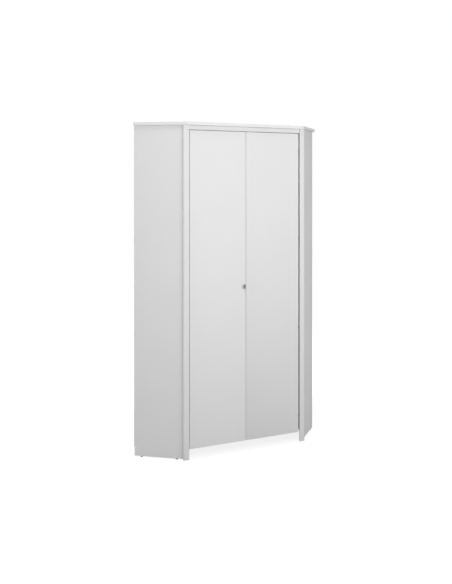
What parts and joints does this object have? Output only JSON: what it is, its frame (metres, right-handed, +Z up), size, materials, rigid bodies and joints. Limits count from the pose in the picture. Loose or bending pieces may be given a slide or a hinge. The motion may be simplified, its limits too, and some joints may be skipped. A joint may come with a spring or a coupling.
{
  "type": "corner wardrobe",
  "caption": "Tall five-sided wardrobe for a room corner, with inset hinged doors set across the corner, slim front posts, an overhanging top, a hat shelf and a hanging rail.",
  "frame": {"origin": "on the floor, at the middle of the outline seen from above", "axes": "+Z up; -Y out of the doors, square to them; +Y towards the corner of the room; +X to the right seen from the front"},
  "size_m": [1.3704, 0.9398, 2.106],
  "materials": {
    "white_board": "particle board faced with matt white melamine",
    "white_hardboard": "thin hardboard, white-coated on the inside",
    "nickel_steel": "nickel-plated pressed steel",
    "satin_nickel": "satin nickel on cast zinc",
    "chromed_steel": "chromed steel tube",
    "dark_plastic": "moulded dark grey plastic",
    "white_plastic": "moulded white plastic"
  },
  "bodies": {
    "carcass": {"top_panel": "white_board", "floor_panel": "white_board", "hat_shelf": "white_board", "head_rail": "white_board", "rear_corner_batten": "white_board", "left_front_post": "white_board", "left_side_panel": "white_board", "right_front_post": "white_board", "right_side_panel": "white_board", "left_back_panel": "white_hardboard", "right_back_panel": "white_hardboard", "left_hinge_arm_1": "nickel_steel", "left_hinge_arm_2": "nickel_steel", "left_hinge_arm_3": "nickel_steel", "left_hinge_arm_4": "nickel_steel", "right_hinge_arm_1": "nickel_steel", "right_hinge_arm_2": "nickel_steel", "right_hinge_arm_3": "nickel_steel", "right_hinge_arm_4": "nickel_steel", "shelf_peg_left_front": "nickel_steel", "shelf_peg_left_rear": "nickel_steel", "shelf_peg_left_batten": "nickel_steel", "shelf_peg_right_front": "nickel_steel", "shelf_peg_right_rear": "nickel_steel", "shelf_peg_right_batten": "nickel_steel", "hanging_rail": "chromed_steel", "left_rail_bracket": "chromed_steel", "right_rail_bracket": "chromed_steel", "glide_left_front": "dark_plastic", "glide_left_rear": "dark_plastic", "glide_right_front": "dark_plastic", "glide_right_rear": "dark_plastic", "glide_corner": "dark_plastic", "left_magnetic_catch": "white_plastic", "left_rail_cap": "white_plastic", "right_magnetic_catch": "white_plastic", "right_rail_cap": "white_plastic"},
    "left_door": {"left_door": "white_board", "left_strike_plate": "nickel_steel", "left_hinge_cup_1": "nickel_steel", "left_hinge_cup_2": "nickel_steel", "left_hinge_cup_3": "nickel_steel", "left_hinge_cup_4": "nickel_steel", "left_hinge_pin_1": "nickel_steel", "left_hinge_pin_2": "nickel_steel", "left_hinge_pin_3": "nickel_steel", "left_hinge_pin_4": "nickel_steel", "door_knob": "satin_nickel", "knob_screw": "nickel_steel"},
    "right_door": {"right_door": "white_board", "right_strike_plate": "nickel_steel", "right_hinge_cup_1": "nickel_steel", "right_hinge_cup_2": "nickel_steel", "right_hinge_cup_3": "nickel_steel", "right_hinge_cup_4": "nickel_steel", "right_hinge_pin_1": "nickel_steel", "right_hinge_pin_2": "nickel_steel", "right_hinge_pin_3": "nickel_steel", "right_hinge_pin_4": "nickel_steel"}
  },
  "joints": [
    {"name": "left_door_hinge", "type": "hinge", "parent": "carcass", "child": "left_door", "pos_m": [-0.38296, -0.43487, 1.059], "axis": [0, 0, -1], "range_deg": [0, 110]},
    {"name": "right_door_hinge", "type": "hinge", "parent": "carcass", "child": "right_door", "pos_m": [0.38296, -0.43487, 1.059], "axis": [0, 0, 1], "range_deg": [0, 110]}
  ]
}
